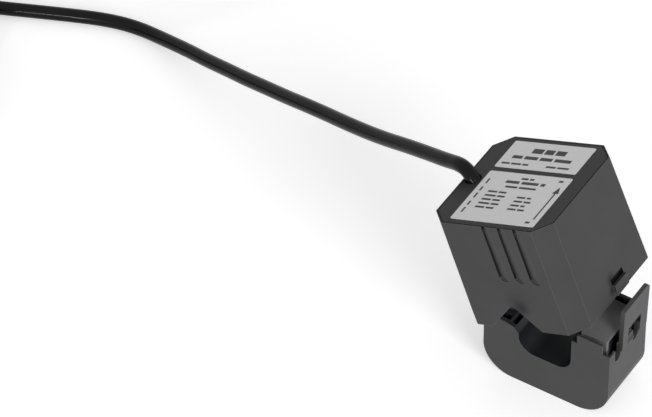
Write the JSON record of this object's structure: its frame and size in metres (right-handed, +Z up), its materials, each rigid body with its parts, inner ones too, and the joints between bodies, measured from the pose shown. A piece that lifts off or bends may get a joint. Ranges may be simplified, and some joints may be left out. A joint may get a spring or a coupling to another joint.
{
  "type": "split-core current transformer",
  "caption": "Small split-core current transformer standing open on its lower jaw, with a hinged upper body, labelled lid and a long thin round lead.",
  "frame": {"origin": "middle of the lower jaw's flat underside", "axes": "+X from the hinge towards the latch, +Y along the conductor, +Z up from the surface it stands on"},
  "size_m": [0.3138, 0.101, 0.0769],
  "materials": {
    "jaw_plastic": "fine satin",
    "body_plastic": "fine satin",
    "cover_plastic": "satin",
    "lid_plastic": "satin",
    "core_steel": "ground",
    "spring_steel": "bright",
    "pad_rubber": "matt",
    "label_film": "matt silver-white film",
    "print_ink": "matt",
    "bobbin_plastic": "satin",
    "copper_wire": "enamelled",
    "wrap_tape": "glossy",
    "board_laminate": "satin",
    "pin_brass": "bright",
    "start_insulation": "glossy",
    "finish_insulation": "glossy",
    "lead_jacket": "glossy"
  },
  "bodies": {
    "upper_body": {"upper_housing": "body_plastic", "housing_lid": "lid_plastic", "name_label": "label_film", "name_print": "print_ink", "rating_label": "label_film", "rating_print": "print_ink", "direction_arrow": "print_ink", "upper_core": "core_steel", "core_clip": "spring_steel", "left_bobbin": "bobbin_plastic", "right_bobbin": "bobbin_plastic", "left_winding": "copper_wire", "right_winding": "copper_wire", "left_wrap": "wrap_tape", "right_wrap": "wrap_tape", "terminal_board": "board_laminate", "start_pin": "pin_brass", "finish_pin": "pin_brass", "bridge_pin": "pin_brass", "suppressor_diode": "bobbin_plastic", "cable_clamp": "bobbin_plastic", "front_clamp_screw": "spring_steel", "rear_clamp_screw": "spring_steel", "start_wire": "start_insulation", "finish_wire": "finish_insulation", "cable": "lead_jacket", "cable_coil": "lead_jacket", "cable_end": "lead_jacket", "coil_tie": "bobbin_plastic", "start_lead": "start_insulation", "finish_lead": "finish_insulation", "start_ferrule": "start_insulation", "finish_ferrule": "finish_insulation"},
    "lower_jaw": {"jaw_housing": "jaw_plastic", "lower_core": "core_steel", "core_spring": "spring_steel", "core_pad": "pad_rubber", "pole_cover": "cover_plastic", "front_hinge_pin": "spring_steel", "rear_hinge_pin": "spring_steel"}
  },
  "joints": [
    {"name": "jaw_hinge", "type": "hinge", "parent": "upper_body", "child": "lower_jaw", "pos_m": [-0.0198, 0, 0.02665], "axis": [0, 1, 0], "range_deg": [-21.65, 58.35]}
  ]
}
